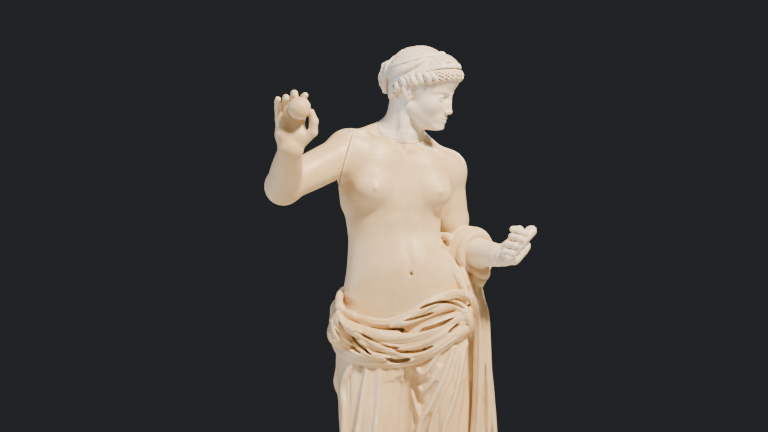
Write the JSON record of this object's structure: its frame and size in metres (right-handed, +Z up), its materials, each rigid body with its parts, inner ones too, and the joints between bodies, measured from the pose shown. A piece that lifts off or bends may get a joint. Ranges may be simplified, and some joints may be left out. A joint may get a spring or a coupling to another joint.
{
  "type": "marble statue of a goddess",
  "caption": "Standing marble goddess, bare to the hips, a cloth rolled about them and over the left forearm, a ball in the raised right hand, on a low plinth.",
  "frame": {"origin": "centre of the plinth's underside, on the floor", "axes": "+X towards the figure's left side (the viewer's right), +Y towards its back, +Z up; the figure faces -Y"},
  "size_m": [0.8334, 0.7164, 1.9407],
  "materials": {
    "warm_marble": "honed warm cream marble, worn and faintly stained",
    "pale_marble": "honed paler marble of the restored pieces"
  },
  "bodies": {
    "root": {"draped_body": "warm_marble", "head": "pale_marble", "right_arm": "warm_marble", "left_forearm": "pale_marble", "plinth": "warm_marble"}
  },
  "joints": []
}
